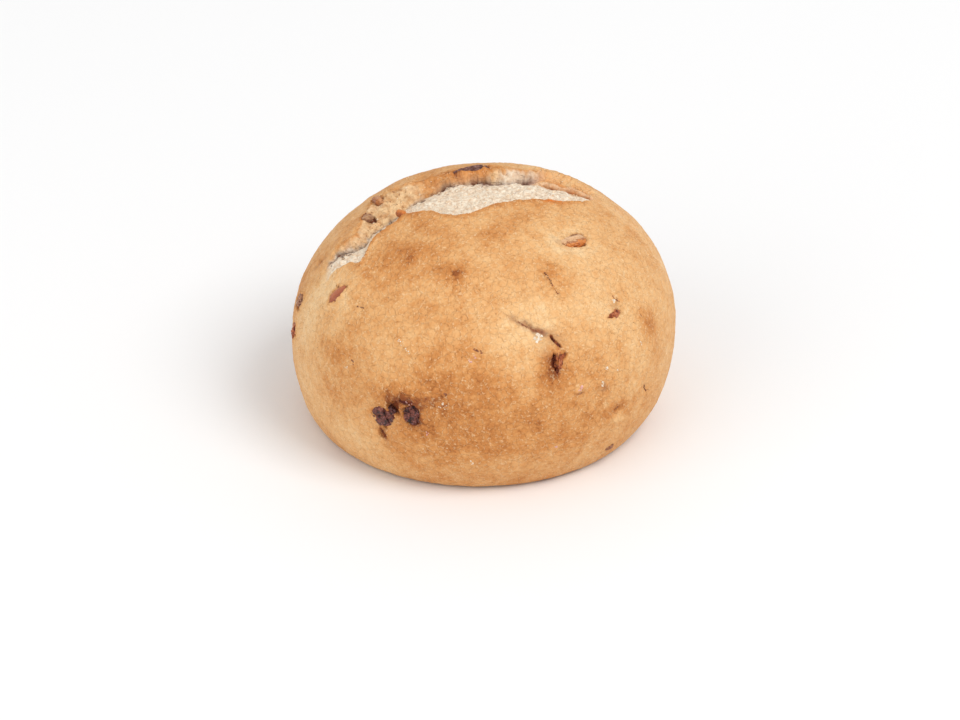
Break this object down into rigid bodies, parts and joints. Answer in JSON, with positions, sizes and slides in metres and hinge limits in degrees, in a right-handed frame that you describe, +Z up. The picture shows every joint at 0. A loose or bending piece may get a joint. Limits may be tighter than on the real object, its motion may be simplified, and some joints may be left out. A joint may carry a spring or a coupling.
{
  "type": "raisin walnut roll",
  "caption": "Round slashed bread roll with raisins and walnut pieces showing in its crust, resting on its flat underside.",
  "frame": {"origin": "centre of the flat underside, at the bottom centre of the bounding box", "axes": "+Z up, the shortest extent; +X along the slash, the longest extent; -Y towards the side where the burst shows its pale wide face"},
  "size_m": [0.088, 0.0863, 0.0551],
  "materials": {
    "crust": "semi-matte golden baked crust, paler where the crumb shows in the burst",
    "raisin": "wrinkled dark red-brown fruit skin with a soft shine",
    "walnut": "satin brown nut skin with tan broken faces"
  },
  "bodies": {
    "root": {"roll": "crust", "raisin_front_left": "raisin", "raisin_front_right": "raisin", "raisin_centre": "raisin", "raisin_side": "raisin", "raisin_left_upper": "raisin", "raisin_left_lower": "raisin", "raisin_low_right": "raisin", "raisin_burst": "raisin", "raisin_top": "raisin", "raisin_back_right": "raisin", "raisin_back_low": "raisin", "walnut_upper_right": "walnut", "walnut_left": "walnut", "walnut_burst": "walnut", "walnut_crevice": "walnut", "walnut_back": "walnut"}
  },
  "joints": []
}
